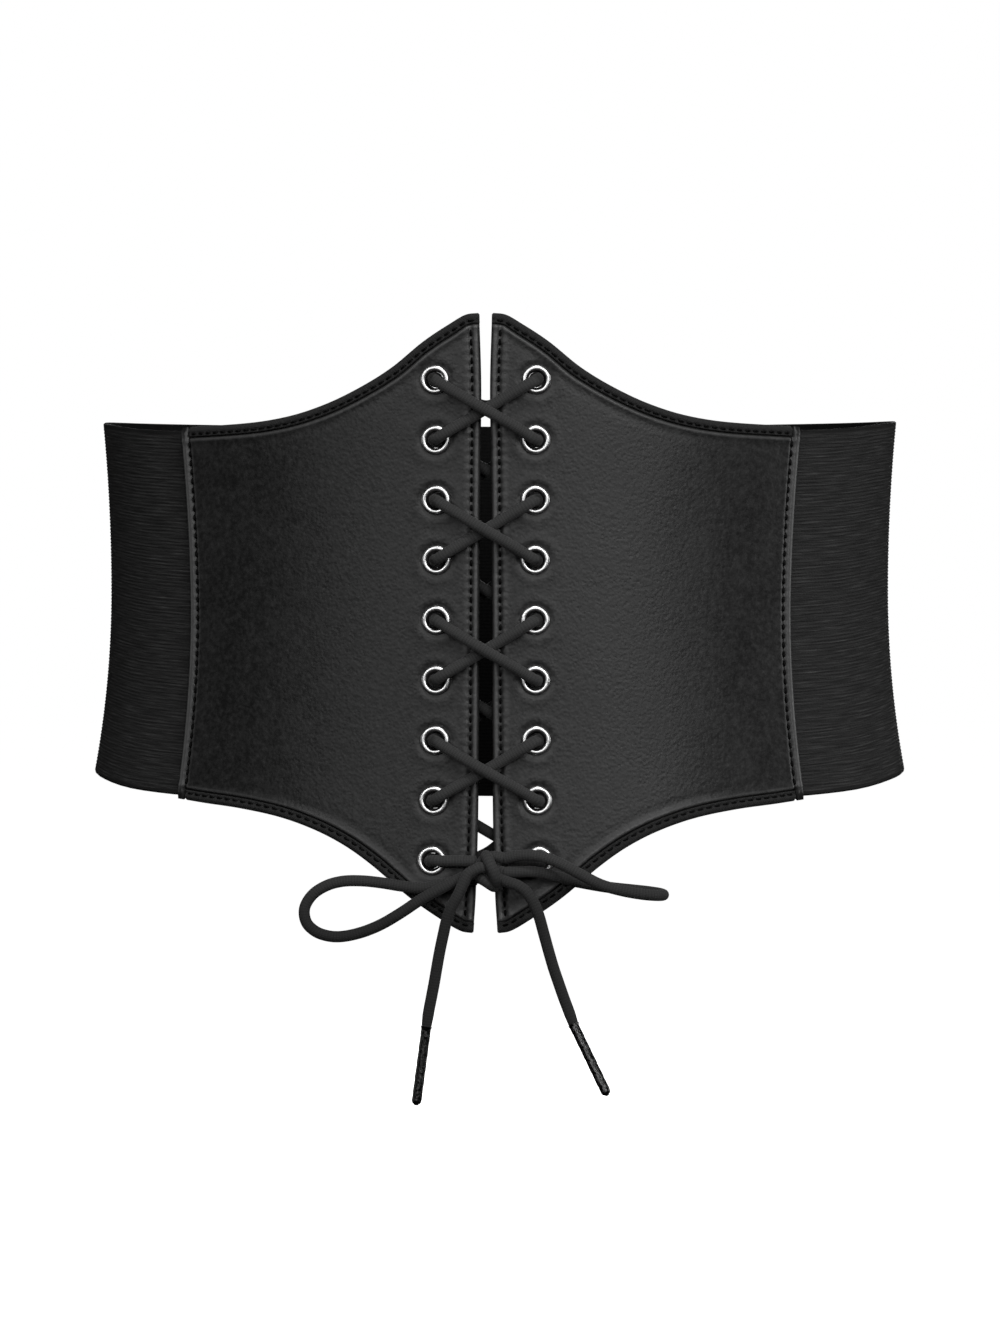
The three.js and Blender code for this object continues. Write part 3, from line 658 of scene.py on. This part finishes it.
def stitch_row(name, arc, z, lift, inside_lift):
    """Row of stitches along a line of points, outside and inside."""
    line = on_waist(arc, z, lift)
    run = np.concatenate([[0], np.cumsum(np.linalg.norm(np.diff(line, axis=0), axis=1))])
    count = int(run[-1] / stitch_pitch)
    places = (np.arange(count) + 0.5) * run[-1] / count
    points = []
    for level, way in ((lift, 1), (inside_lift, -1)):
        line = on_waist(arc, z, level)
        out = waist_normal(arc, z) * way
        for place in places:
            centre = [np.interp(place, run, line[:, i]) for i in range(3)]
            ahead = [np.interp(place + 0.8, run, line[:, i]) for i in range(3)]
            behind = [np.interp(place - 0.8, run, line[:, i]) for i in range(3)]
            forward = np.array(ahead) - behind
            forward /= np.linalg.norm(forward)
            up = np.array([np.interp(place, run, out[:, i]) for i in range(3)])
            side = np.cross(up, forward)
            side /= np.linalg.norm(side)
            points.append(stitch_points @ np.array([forward, side, np.cross(forward, side)]) + centre)
    faces = [[v + k * len(stitch_points) for v in f] for k in range(len(points)) for f in stitch_faces]
    mesh = bpy.data.meshes.new(name)
    mesh.from_pydata(np.concatenate(points) * mm, [], faces)
    row = bpy.data.objects.new(name, mesh)
    bpy.context.collection.objects.link(row)
    finish_piece(row, [thread], "edge_binding")


for side, sign in (("left", -1), ("right", 1)):
    rise = np.linspace(panel_bottom(0) + 5.5, panel_top(0) - 5.5, 300)
    front_line = panel_arc(front_stitch_inset / panel_width, rise)
    stitch_row(f"front_stitching_{side}", sign * front_line, rise, panel_thickness - 0.1, -0.05)
    rise = np.linspace(seam_bottom + 5, seam_top - 5, 200)
    seam_line = panel_arc(1 - seam_stitch_inset / panel_width, rise)
    inside = -elastic_gap - elastic_thickness - 0.1
    stitch_row(f"seam_stitching_{side}", sign * seam_line, rise, panel_thickness - 0.15, inside)
    for place_name, edge, inward in (("top", panel_top, -1), ("bottom", panel_bottom, 1)):
        run = np.linspace(1.2, binding_end - 0.8, 300)
        slant = edge_slant(edge, run / panel_width)
        height = edge(run / panel_width) + inward * binding_stitch_inset * slant
        bound_line = panel_arc(run / panel_width, height)
        stitch_row(f"{place_name}_stitching_{side}", sign * bound_line, height, 2.42, -1.02)

# Eyelets. Bright nickel-plated rings pressed through the panel: a rolled rim outside, a barrel through
# the hole and a flat flange inside. One is spun from its profile and copied to every hole.
nickel, shader, place, uv = new_finish("bright_nickel", Metallic=1.0)
scuffs = noise(place, 700, 3, 0.6)
feed(shader.inputs["Base Color"], 0.82 + 0.12 * scuffs)
feed(shader.inputs["Roughness"], 0.24 + 0.16 * scuffs)
feed(shader.inputs["Normal"], raised(noise(place, 1500), 0.00002))

eyelet_profile = [
    (3.3, -0.95), (4.6, -1.0), (4.9, -0.85), (4.95, -0.5), (4.8, -0.15), (3.9, -0.05), (3.85, 2.2),
    (4.85, 2.2), (5.05, 2.4), (5.12, 2.7), (5.09, 3.0), (5.0, 3.24), (4.83, 3.42), (4.55, 3.53),
    (4.2, 3.58), (3.85, 3.56), (3.58, 3.46), (3.4, 3.26), (3.28, 2.9), (3.12, 1.8), (2.85, 0.3),
    (2.75, -0.6),
]
bpy.ops.object.select_all(action="DESELECT")
bpy.ops.mesh.primitive_circle_add(vertices=len(eyelet_profile), radius=1)
eyelet = bpy.context.object
write_points(eyelet, np.array([(radius, 0, height) for radius, height in eyelet_profile]))
bpy.ops.object.mode_set(mode="EDIT")
bpy.ops.mesh.select_all(action="SELECT")
bpy.ops.mesh.spin(steps=44, angle=2 * math.pi, center=(0, 0, 0), axis=(0, 0, 1))
bpy.ops.mesh.select_all(action="SELECT")
bpy.ops.mesh.remove_doubles(threshold=0.001)
bpy.ops.mesh.normals_make_consistent(inside=False)
bpy.ops.object.mode_set(mode="OBJECT")
eyelet_points = read_points(eyelet)
for side, sign in (("left", -1), ("right", 1)):
    for number, level in enumerate(eyelet_levels, 1):
        bpy.ops.object.select_all(action="DESELECT")
        eyelet.select_set(True)
        bpy.context.view_layer.objects.active = eyelet
        bpy.ops.object.duplicate(linked=False)
        ring = bpy.context.object
        ring.name = f"eyelet_ring_{side}_{number}"
        out = waist_normal(np.array(sign * eyelet_arc), np.array(level))
        turn = np.array(Vector((0, 0, 1)).rotation_difference(Vector(out)).to_matrix())
        write_points(ring, (eyelet_points @ turn.T + on_waist(sign * eyelet_arc, level, 0)) * mm)
        finish_piece(ring, [nickel], "eyelet_metal", f"{side}_eyelet_{number}")
bpy.data.objects.remove(eyelet)

# Lace. One round braided cord, four millimetres thick, runs through all the eyelets from the bar behind
# the top pair down to the last pair, and crosses outside and inside the panels by turns.
lace_radius = 2.0
knot_arc = 1.75
knot_drop = 3.4
knot_clear = 0.65
knot_radius = 7.3
knot_half_width = 4.3
knot_lift = panel_thickness + knot_clear + knot_radius
knot_centre = on_waist(knot_arc, last_eyelet_level - knot_drop, knot_lift)
eyelet_bore = 3.25
lace_turn_radius = 4.95
turn_centre_radius = (eyelet_bore + lace_turn_radius) / 2
turn_centre_lift = 1.35
outside_lift = turn_centre_lift + lace_turn_radius
inside_lift = turn_centre_lift - lace_turn_radius
strand_pitch = 2 * lace_radius + loose_fit
outside_under = panel_thickness + lace_radius + 3 * loose_fit
inside_near = -lace_radius - 3 * loose_fit
bar_droop = 10.6
bar_flatness = 1.5
last_crossing_sag = 7.9
end_cap = 0.25

# Braided black cord, darkened in colour as painted shade where it passes through an eyelet or lies
# behind the panels, and darker towards the bottom as painted shade over the bow's loops and tails
lace_cloth, shader, place, uv = new_finish("braided_lace", Specular_IOR_Level=0.2, Sheen_Weight=0.08)
along_lace = uv.node("ShaderNodeSeparateXYZ", {}, {"Vector": uv}, "X")
around_lace = uv.node("ShaderNodeSeparateXYZ", {}, {"Vector": uv}, "Y")
left_strands = uv.math("SINE", 6.2832 * (10 * around_lace + 5 * along_lace))
right_strands = uv.math("SINE", 6.2832 * (10 * around_lace - 5 * along_lace))
braid = 0.5 + 0.5 * left_strands * right_strands
fuzz = noise(place, 1800, 2)
packed = place.node("ShaderNodeAttribute", {"attribute_name": "packed"}, {}, "Fac")
height = place.node("ShaderNodeSeparateXYZ", {}, {"Vector": place}, "Z")
# Painted shade: the lace's colour darkens towards the bottom, over the bow's loops and tails
bow_shade_range = {"From Min": -0.108, "From Max": -0.088, "To Min": 0.5, "To Max": 1.0}
bow_shade_factor = place.node("ShaderNodeMapRange", {}, {"Value": height, **bow_shade_range}, "Result")
feed(shader.inputs["Base Color"], bow_shade_factor * (1 - packed) * (0.03 + 0.026 * braid + 0.02 * fuzz))
shader.inputs["Roughness"].default_value = 0.85
feed(shader.inputs["Normal"], raised(braid + 0.6 * fuzz, 0.00007))


def smooth_line(points, spacing):
    """Evenly spaced points on a smooth curve through chosen ones."""
    points = np.array(points, dtype=float)
    padded = np.concatenate([[2 * points[0] - points[1]], points, [2 * points[-1] - points[-2]]])
    curve = [points[0]]
    for i in range(len(points) - 1):
        p0, p1, p2, p3 = padded[i:i + 4]
        gaps = [max(np.linalg.norm(b - a), 1e-6) ** 0.5 for a, b in ((p0, p1), (p1, p2), (p2, p3))]
        leave = ((p1 - p0) / gaps[0] - (p2 - p0) / (gaps[0] + gaps[1]) + (p2 - p1) / gaps[1]) * gaps[1]
        arrive = ((p2 - p1) / gaps[1] - (p3 - p1) / (gaps[1] + gaps[2]) + (p3 - p2) / gaps[2]) * gaps[1]
        for t in np.linspace(0, 1, 13)[1:]:
            low = p1 * (2 * t**3 - 3 * t**2 + 1) + leave * (t**3 - 2 * t**2 + t)
            curve.append(low + p2 * (3 * t**2 - 2 * t**3) + arrive * (t**3 - t**2))
    curve = np.array(curve)
    run = np.concatenate([[0], np.cumsum(np.linalg.norm(np.diff(curve, axis=0), axis=1))])
    places = np.linspace(0, run[-1], max(int(run[-1] / spacing), 4))
    return np.stack([np.interp(places, run, curve[:, i]) for i in range(3)], axis=-1)


def rolled_tube(name, line, radii, sides=16):
    """Closed tube along a line: a grid rolled round it, with its seam and ends closed."""
    forward = np.gradient(line, axis=0)
    forward /= np.linalg.norm(forward, axis=1, keepdims=True)
    across = np.cross(forward[0], (0.3, 0.9, 0.1))
    across /= np.linalg.norm(across)
    frames = []
    for way in forward:
        across = across - way * np.dot(across, way)
        across = across / np.linalg.norm(across)
        frames.append((across, np.cross(way, across)))
    frames = np.array(frames)
    radii = np.array(radii, dtype=float)
    radii = np.broadcast_to(radii if radii.ndim == 2 else radii.reshape(-1, 1), (len(line), sides))
    rings = np.clip(np.arange(-2, len(line) + 2), 0, len(line) - 1)
    push = np.zeros(len(rings))
    push[:2] = -end_cap
    push[-2:] = end_cap
    ring_lines = line[rings] + push[:, None] * forward[rings]
    ring_radii = radii[rings] * np.where(push == 0, 1, 0.85)[:, None]
    ring_radii[[0, -1]] = 0
    tube, column, row = flat_grid(name, len(rings) - 1, sides)
    angle = 2 * math.pi * row / sides
    first, second = frames[rings][column].transpose(1, 0, 2)
    out = np.cos(angle)[:, None] * first + np.sin(angle)[:, None] * second
    write_points(tube, (ring_lines[column] + out * ring_radii[column, row % sides][:, None]) * mm)
    run = np.concatenate([[0], np.cumsum(np.linalg.norm(np.diff(ring_lines, axis=0), axis=1))])
    write_uvs(tube, np.stack([run[column] / 10, row / sides], axis=-1))
    bpy.ops.object.mode_set(mode="EDIT")
    bpy.ops.mesh.select_all(action="SELECT")
    bpy.ops.mesh.remove_doubles(threshold=0.000005)
    bpy.ops.object.mode_set(mode="OBJECT")
    return tube


def eyelet_turn(stop, outside_aim, inside_aim, starts_outside):
    """Half turn of the lace round an eyelet, from one strand to the other."""
    def towards(aim):
        way = np.array(aim) - stop
        return way / np.linalg.norm(way)

    points = []
    for angle in np.radians([90, 54, 18, -18, -54, -90]):
        share = (1 + math.sin(angle)) / 2
        way = towards(inside_aim) * (1 - share) + towards(outside_aim) * share
        way = way / np.linalg.norm(way)
        arc, z = stop + way * (turn_centre_radius - lace_turn_radius * math.cos(angle))
        points.append(on_waist(arc, z, turn_centre_lift + lace_turn_radius * math.sin(angle)))
    return points if starts_outside else points[::-1]


def strand(start, end, edge_lift, crossing_lift, sag):
    """Points of the lace between two eyelets."""
    points = []
    for share in (0.3, 0.5, 0.7):
        nearness = 1 - (abs(share - 0.5) / 0.4) ** 2
        arc, z = start * (1 - share) + end * share
        lift = edge_lift * (1 - nearness) + crossing_lift * nearness
        points.append(on_waist(arc, z - sag * nearness, lift))
    return points


last = eyelet_rows - 1
stops = [((-1 if row % 2 == 0 else 1), row) for row in range(last, -1, -1)]
stops += [((1 if row % 2 == 0 else -1), row) for row in range(eyelet_rows)]
stops = [np.array([sign * eyelet_arc, eyelet_levels[row]]) for sign, row in stops]
left_of_knot = np.array([knot_centre[0] - knot_half_width - 0.5, eyelet_levels[last]])
right_of_knot = np.array([knot_centre[0] + knot_half_width + 0.5, eyelet_levels[last]])
bar_low = np.array([0, eyelet_levels[0] - bar_droop])
lace_points = [on_waist(*left_of_knot, outside_lift)]
for i, stop in enumerate(stops):
    starts_outside = i % 2 == 0
    previous = left_of_knot if i == 0 else stops[i - 1]
    following = right_of_knot if i == len(stops) - 1 else stops[i + 1]
    outside_aim, inside_aim = (previous, following) if starts_outside else (following, previous)
    if i in (last, last + 1):
        inside_aim = bar_low
    lace_points += eyelet_turn(stop, outside_aim, inside_aim, starts_outside)
    if i == len(stops) - 1:
        continue
    if i == last:
        bar_middle = bar_low + np.array([0, bar_flatness])
        bar = [bar_low * 0.55 + stop * 0.45, bar_middle, bar_low * 0.55 + following * 0.45]
        lace_points += [on_waist(arc, z, inside_lift) for arc, z in bar]
    elif starts_outside:
        crossing = inside_near - (strand_pitch if i < last else 0)
        sag = last_crossing_sag if i == 0 else 0
        lace_points += strand(stop, following, inside_lift, crossing, sag)
    else:
        crossing = outside_under + (strand_pitch if i < last else 0)
        lace_points += strand(stop, following, outside_lift, crossing, 0)
lace_points.append(on_waist(*right_of_knot, outside_lift))
lace_line = smooth_line(lace_points, 0.8)
# The lace swells where it fills an eyelet; shade darkens its colour as painted shade in the eyelets and
# behind the panels
fullness = np.zeros(len(lace_line))
shade = np.zeros(len(lace_line))
for stop in stops:
    out = waist_normal(stop[0], stop[1])
    from_eyelet = lace_line - on_waist(stop[0], stop[1], 0)
    lift = from_eyelet @ out
    sideways = from_eyelet - np.outer(lift, out)
    at_hole = np.linalg.norm(sideways, axis=1) < 4
    inside = smooth_step(lift, -2.4, -1) * (1 - smooth_step(lift, 1, 2.6)) * at_hole
    lace_line = lace_line - 0.75 * inside[:, None] * sideways
    fullness = np.maximum(fullness, inside)
    shade = np.maximum(shade, smooth_step(-np.abs(lift - 1), -3.6, -1.6) * at_hole)
behind = np.hypot(lace_line[:, 0] / waist_half_width, lace_line[:, 1] / waist_half_depth) < 0.994
shade = np.maximum(shade, 0.7 * behind)
lace = rolled_tube("lace_through_eyelets", lace_line, lace_radius * (1 + 0.36 * fullness))
surface = read_points(lace) / mm
nearest = np.abs(surface[:, None, :] - lace_line[None, ::4, :]).sum(axis=2).argmin(axis=1)
# Painted shade, carried to the lace's surface
write_attribute(lace, "packed", 0.93 * shade[::4][nearest])
finish_piece(lace, [lace_cloth], "lace_cord", "lacing")

# Bow. The lace's two tails are tied in front of the last eyelets: a wrap slants over the knot, a loop
# stands out on each side, and two free ends hang down. The lace is limp.
left_loop_route = [
    (-5, 4.2, -3.3), (-10.3, 4.3, -3.6), (-17.3, 4.6, -4.9), (-24.7, 4.7, -6.3), (-31.3, 4.8, -5.6),
    (-38.3, 4.9, -4.5), (-45.3, 4.8, -3.8), (-52.3, 4.4, -4), (-57.9, 3.8, -5.6), (-62.6, 3, -8.8),
    (-65.2, 2.2, -13.5), (-64.4, 1.4, -18.3), (-61.1, 0.8, -21.4), (-56.7, 0.5, -22.9),
    (-52.1, 0.4, -23.1), (-45.3, 0.4, -21.7), (-38.3, 0.3, -18.9), (-31.3, 0, -14.8),
    (-23.6, -0.4, -9.7), (-15.6, -0.3, -5.4), (-8.6, -0.1, -1.9), (-5.2, 0, -0.9),
]
right_loop_route = [
    (5.2, -0.6, 4.4), (9.4, -2, 5.4), (14.3, -3.4, 5.7), (19.6, -4.4, 4.9), (26, -5.4, 2.3),
    (32.6, -6.2, -1.2), (38.9, -6.8, -4.3), (45.9, -7.1, -6.3), (52.8, -6.2, -7.6), (58, -3.2, -8.2),
    (60.6, 1.6, -8.3), (58.9, 6.8, -8), (54.2, 10, -7.5), (48, 10.8, -6.9), (41, 10, -6.1),
    (34.5, 7.4, -4.9), (28.3, 4.4, -3.5), (22.2, 1.7, -1.7), (15.5, -0.2, -0.3), (9.5, -0.6, -0.3),
    (5, -0.6, -0.4),
]
left_end_route = [
    (-5.6, -4.6, 0.3), (-7.2, -4.8, -0.7), (-9, -5.1, -4.1), (-10.9, -5.2, -8.3), (-13.3, -4.9, -12.7),
    (-14.9, -4.5, -17), (-16.1, -4.1, -22.1), (-17.4, -3.7, -28.2), (-18.4, -3.4, -33.7),
    (-19.3, -3.2, -38.9), (-20.3, -3, -44.1), (-21.3, -2.9, -49.3), (-22.1, -2.8, -54.7),
]
right_end_route = [
    (5.2, -2.4, -3.4), (7.3, -4.1, -4), (9.7, -5.1, -4.7), (12.8, -5.6, -6.8), (15.4, -5.8, -10.5),
    (17.3, -5.8, -15.1), (19, -5.6, -21.2), (20.9, -5.6, -28.1), (22.5, -5.9, -33.5),
    (24.3, -6.4, -38.7), (26.2, -7.2, -44), (28.1, -8.2, -48.9), (29.7, -9.1, -53.2),
]


def from_knot(points):
    return np.array(points) + knot_centre


knot_routes = {
    "wrap": [
        (0, 4.6, 2.4), (-1.2, 2.4, 4.7), (-1.2, -0.8, 5.3), (-0.5, -3.6, 4.3), (0.6, -5.2, 2.2),
        (1.6, -5.5, -0.2), (2.2, -4.5, -2.6), (2, -2, -4.2), (1, 1, -4.4), (0, 3.4, -3),
    ],
    "upper": [
        (-5, 4.2, -3.3), (-4.4, 3.2, 0), (-2.2, 1.2, 3.7), (0.6, 0.3, 5), (3.2, -0.1, 4.9),
        (5.2, -0.6, 4.4),
    ],
    "middle": [(-5.2, 0, -0.9), (-1, 1.2, 0.4), (2, 0.6, 0.2), (5, -0.6, -0.4)],
    "front": [
        (-5.6, -4.6, 0.3), (-3.3, -3.7, 1.3), (-0.6, -2, 0.6), (2.2, -1.2, -1.8), (5.2, -2.4, -3.4),
    ],
    "lower": [
        (-4, 2.2, -2.6), (-3, -0.6, -2.7), (-1.2, -2.3, -3.6), (0.7, -2, -4.9), (1.5, 0.4, -5.4),
        (1.2, 2.6, -4.6),
    ],
}
tubes = []
for strand_name, route in knot_routes.items():
    line = smooth_line(from_knot(route), 0.6)
    tubes.append(rolled_tube(f"knot_{strand_name}_strand", line, lace_radius))
bpy.ops.object.select_all(action="DESELECT")
for tube in tubes:
    tube.select_set(True)
bpy.context.view_layer.objects.active = tubes[0]
bpy.ops.object.join()
knot = bpy.context.object
knot.name = "knot_of_the_bow"
finish_piece(knot, [lace_cloth], "lace_cord", "bow_knot")

for side, route in (("left", left_loop_route), ("right", right_loop_route)):
    line = smooth_line(from_knot(route), 0.7)
    loop = rolled_tube(f"loop_of_the_bow_{side}", line, lace_radius)
    finish_piece(loop, [lace_cloth], "lace_cord", f"bow_loop_{side}")

# Aglets. The last inch of each end is wound in clear-coated black film, shrunk to a stiff sleeve with a
# rounded tip; the film's overlap shows as a low spiral step that catches the light.
aglet_radius = 1.7
aglet_length = 26.5
film_pitch = 4.9
aglet_ways = {"left": (-3.6, 0.3, -27), "right": (11.2, -6.5, -22.3)}

film, shader, place, uv = new_finish("wound_film", Specular_IOR_Level=0.6, Coat_Weight=0.6)
wrinkles = noise(place, 900, 3, 0.6)
feed(shader.inputs["Base Color"], 0.002 + 0.003 * wrinkles)
feed(shader.inputs["Roughness"], 0.08 + 0.12 * wrinkles)
feed(shader.inputs["Normal"], raised(wrinkles, 0.0005))

for side, route in (("left", left_end_route), ("right", right_end_route)):
    way = np.array(aglet_ways[side]) / np.linalg.norm(aglet_ways[side])
    tail_line = smooth_line(from_knot(route), 0.7)
    start = tail_line[-1] - 0.4 * way
    share = np.linspace(0, 1, 70)
    aglet_line = start + np.outer(share * (aglet_length + 1), way)
    around = np.arange(24) / 24
    spiral = (share[:, None] * aglet_length / film_pitch + around) % 1
    slim = np.where(share > 0.95, np.sqrt(np.clip(1 - ((share - 0.95) / 0.055) ** 2, 0.02, 1)), 1)
    collar = 1 + 0.16 * np.clip(1 - share * 30, 0, 1)
    radii = aglet_radius * (slim * collar)[:, None] * (0.97 + 0.07 * spiral)
    aglet = rolled_tube(f"film_aglet_{side}", aglet_line, radii, 24)
    finish_piece(aglet, [film], "aglet_film", f"aglet_{side}")
    left_to_go = np.linspace(1, 0, len(tail_line))
    taper = 1 - 0.14 * np.clip(1 - 14 * left_to_go, 0, 1)
    tail = rolled_tube(f"end_of_the_lace_{side}", tail_line, lace_radius * taper)
    finish_piece(tail, [lace_cloth], "lace_cord", f"lace_end_{side}")

# Studio. A pale floor far below the belt, a white surround that only the camera sees, and large soft
# lights in front, so that the panels shine at the middle and fall off to the sides.
floor_level = -0.36
bpy.ops.object.select_all(action="DESELECT")
bpy.ops.mesh.primitive_plane_add(size=30, location=(0, 0, 0))
floor = bpy.context.object
floor.name = "studio_floor"
write_points(floor, read_points(floor) + np.array([0, 0, floor_level]))
floor_paint, shader, place, uv = new_finish("floor_paint", Roughness=1.0, Specular_IOR_Level=0.0)
feed(shader.inputs["Base Color"], 0.78 + 0.02 * noise(place, 3))
shader.inputs["Emission Color"].default_value = (1, 1, 1, 1)
shader.inputs["Emission Strength"].default_value = 1.0
floor.data.materials.append(floor_paint)
floor.visible_diffuse = False
floor.visible_glossy = False

world = bpy.data.worlds.new("white_surround")
bpy.context.scene.world = world
world.use_nodes = True
world.node_tree.nodes["Background"].inputs["Color"].default_value = (1, 1, 1, 1)
world.node_tree.nodes["Background"].inputs["Strength"].default_value = 1.0
world.cycles_visibility.diffuse = False
world.cycles_visibility.glossy = False
bpy.context.scene.view_settings.view_transform = "Standard"


def softbox(name, place, target, size, power):
    """Square light facing a point of the belt."""
    bpy.ops.object.select_all(action="DESELECT")
    bpy.ops.object.light_add(type="AREA", location=place)
    lamp = bpy.context.object
    lamp.name = name
    lamp.data.shape = "RECTANGLE"
    lamp.data.size, lamp.data.size_y = size
    lamp.data.energy = power
    lamp.rotation_euler = (Vector(target) - Vector(place)).to_track_quat("-Z", "Y").to_euler()


softbox("front_light", (0.25, -2.8, 0.75), (0, -0.1, 0), (2.6, 1.1), 18)
softbox("right_strip_light", (1.15, -2.2, 0.7), (0, -0.1, 0), (0.5, 1.0), 10)
softbox("left_strip_light", (-1.1, -2.2, 0.7), (0, -0.1, 0), (0.4, 1.0), 6)
softbox("key_light", (0.3, -1.6, 1.9), (0, -0.1, 0), (0.5, 0.35), 17)
softbox("right_side_light", (2.4, 0.3, 0.3), (0.1, 0, 0), (0.9, 1.2), 12)
softbox("left_side_light", (-2.4, 0.3, 0.3), (-0.1, 0, 0), (0.9, 1.2), 3)
softbox("back_light", (0, 2.6, 0.9), (0, 0, 0), (1.6, 1.0), 30)
